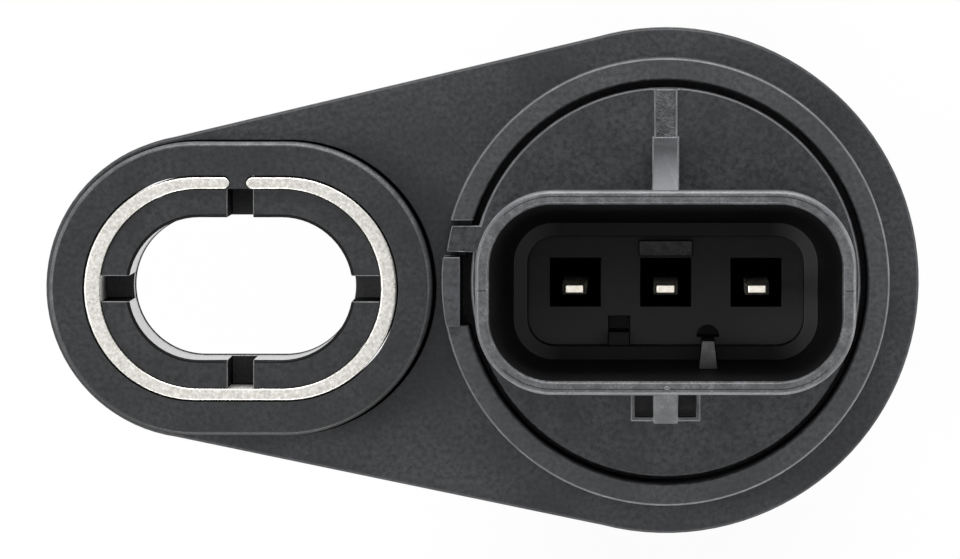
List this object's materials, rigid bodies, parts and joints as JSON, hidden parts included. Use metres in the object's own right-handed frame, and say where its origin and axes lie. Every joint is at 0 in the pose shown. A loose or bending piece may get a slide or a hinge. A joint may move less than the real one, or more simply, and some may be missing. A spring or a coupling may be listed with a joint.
{
  "type": "crankshaft position sensor",
  "caption": "Crankshaft position sensor with a tear-drop flange, sleeved bolt slot, sealed barrel and upright blade connector hood.",
  "frame": {"origin": "where the barrel's axis meets the flange's seating face", "axes": "+Z along the barrel's axis towards the connector, -X towards the bolt slot"},
  "size_m": [0.0438, 0.0254, 0.0404],
  "materials": {
    "flange_nylon": "spark-eroded matt",
    "sleeve_steel": "zinc-plated rolled strip",
    "body_nylon": "spark-eroded matt",
    "terminal_metal": "tinned",
    "carrier_plastic": "moulded",
    "chip_epoxy": "moulded",
    "lead_metal": "tinned",
    "magnet_metal": "sintered",
    "plate_steel": "stamped",
    "capacitor_ceramic": "fired ceramic",
    "cap_nylon": "moulded",
    "ring_rubber": "moulded"
  },
  "bodies": {
    "root": {"mounting_flange": "flange_nylon", "bolt_sleeve": "sleeve_steel", "sensor_body": "body_nylon", "terminal_supply": "terminal_metal", "terminal_ground": "terminal_metal", "terminal_signal": "terminal_metal", "chip_carrier": "carrier_plastic", "hall_chip": "chip_epoxy", "chip_lead_supply": "lead_metal", "chip_lead_ground": "lead_metal", "chip_lead_signal": "lead_metal", "bias_magnet": "magnet_metal", "flux_plate": "plate_steel", "supply_capacitor": "capacitor_ceramic", "signal_capacitor": "capacitor_ceramic", "tip_cap": "cap_nylon", "sealing_ring": "ring_rubber"}
  },
  "joints": []
}
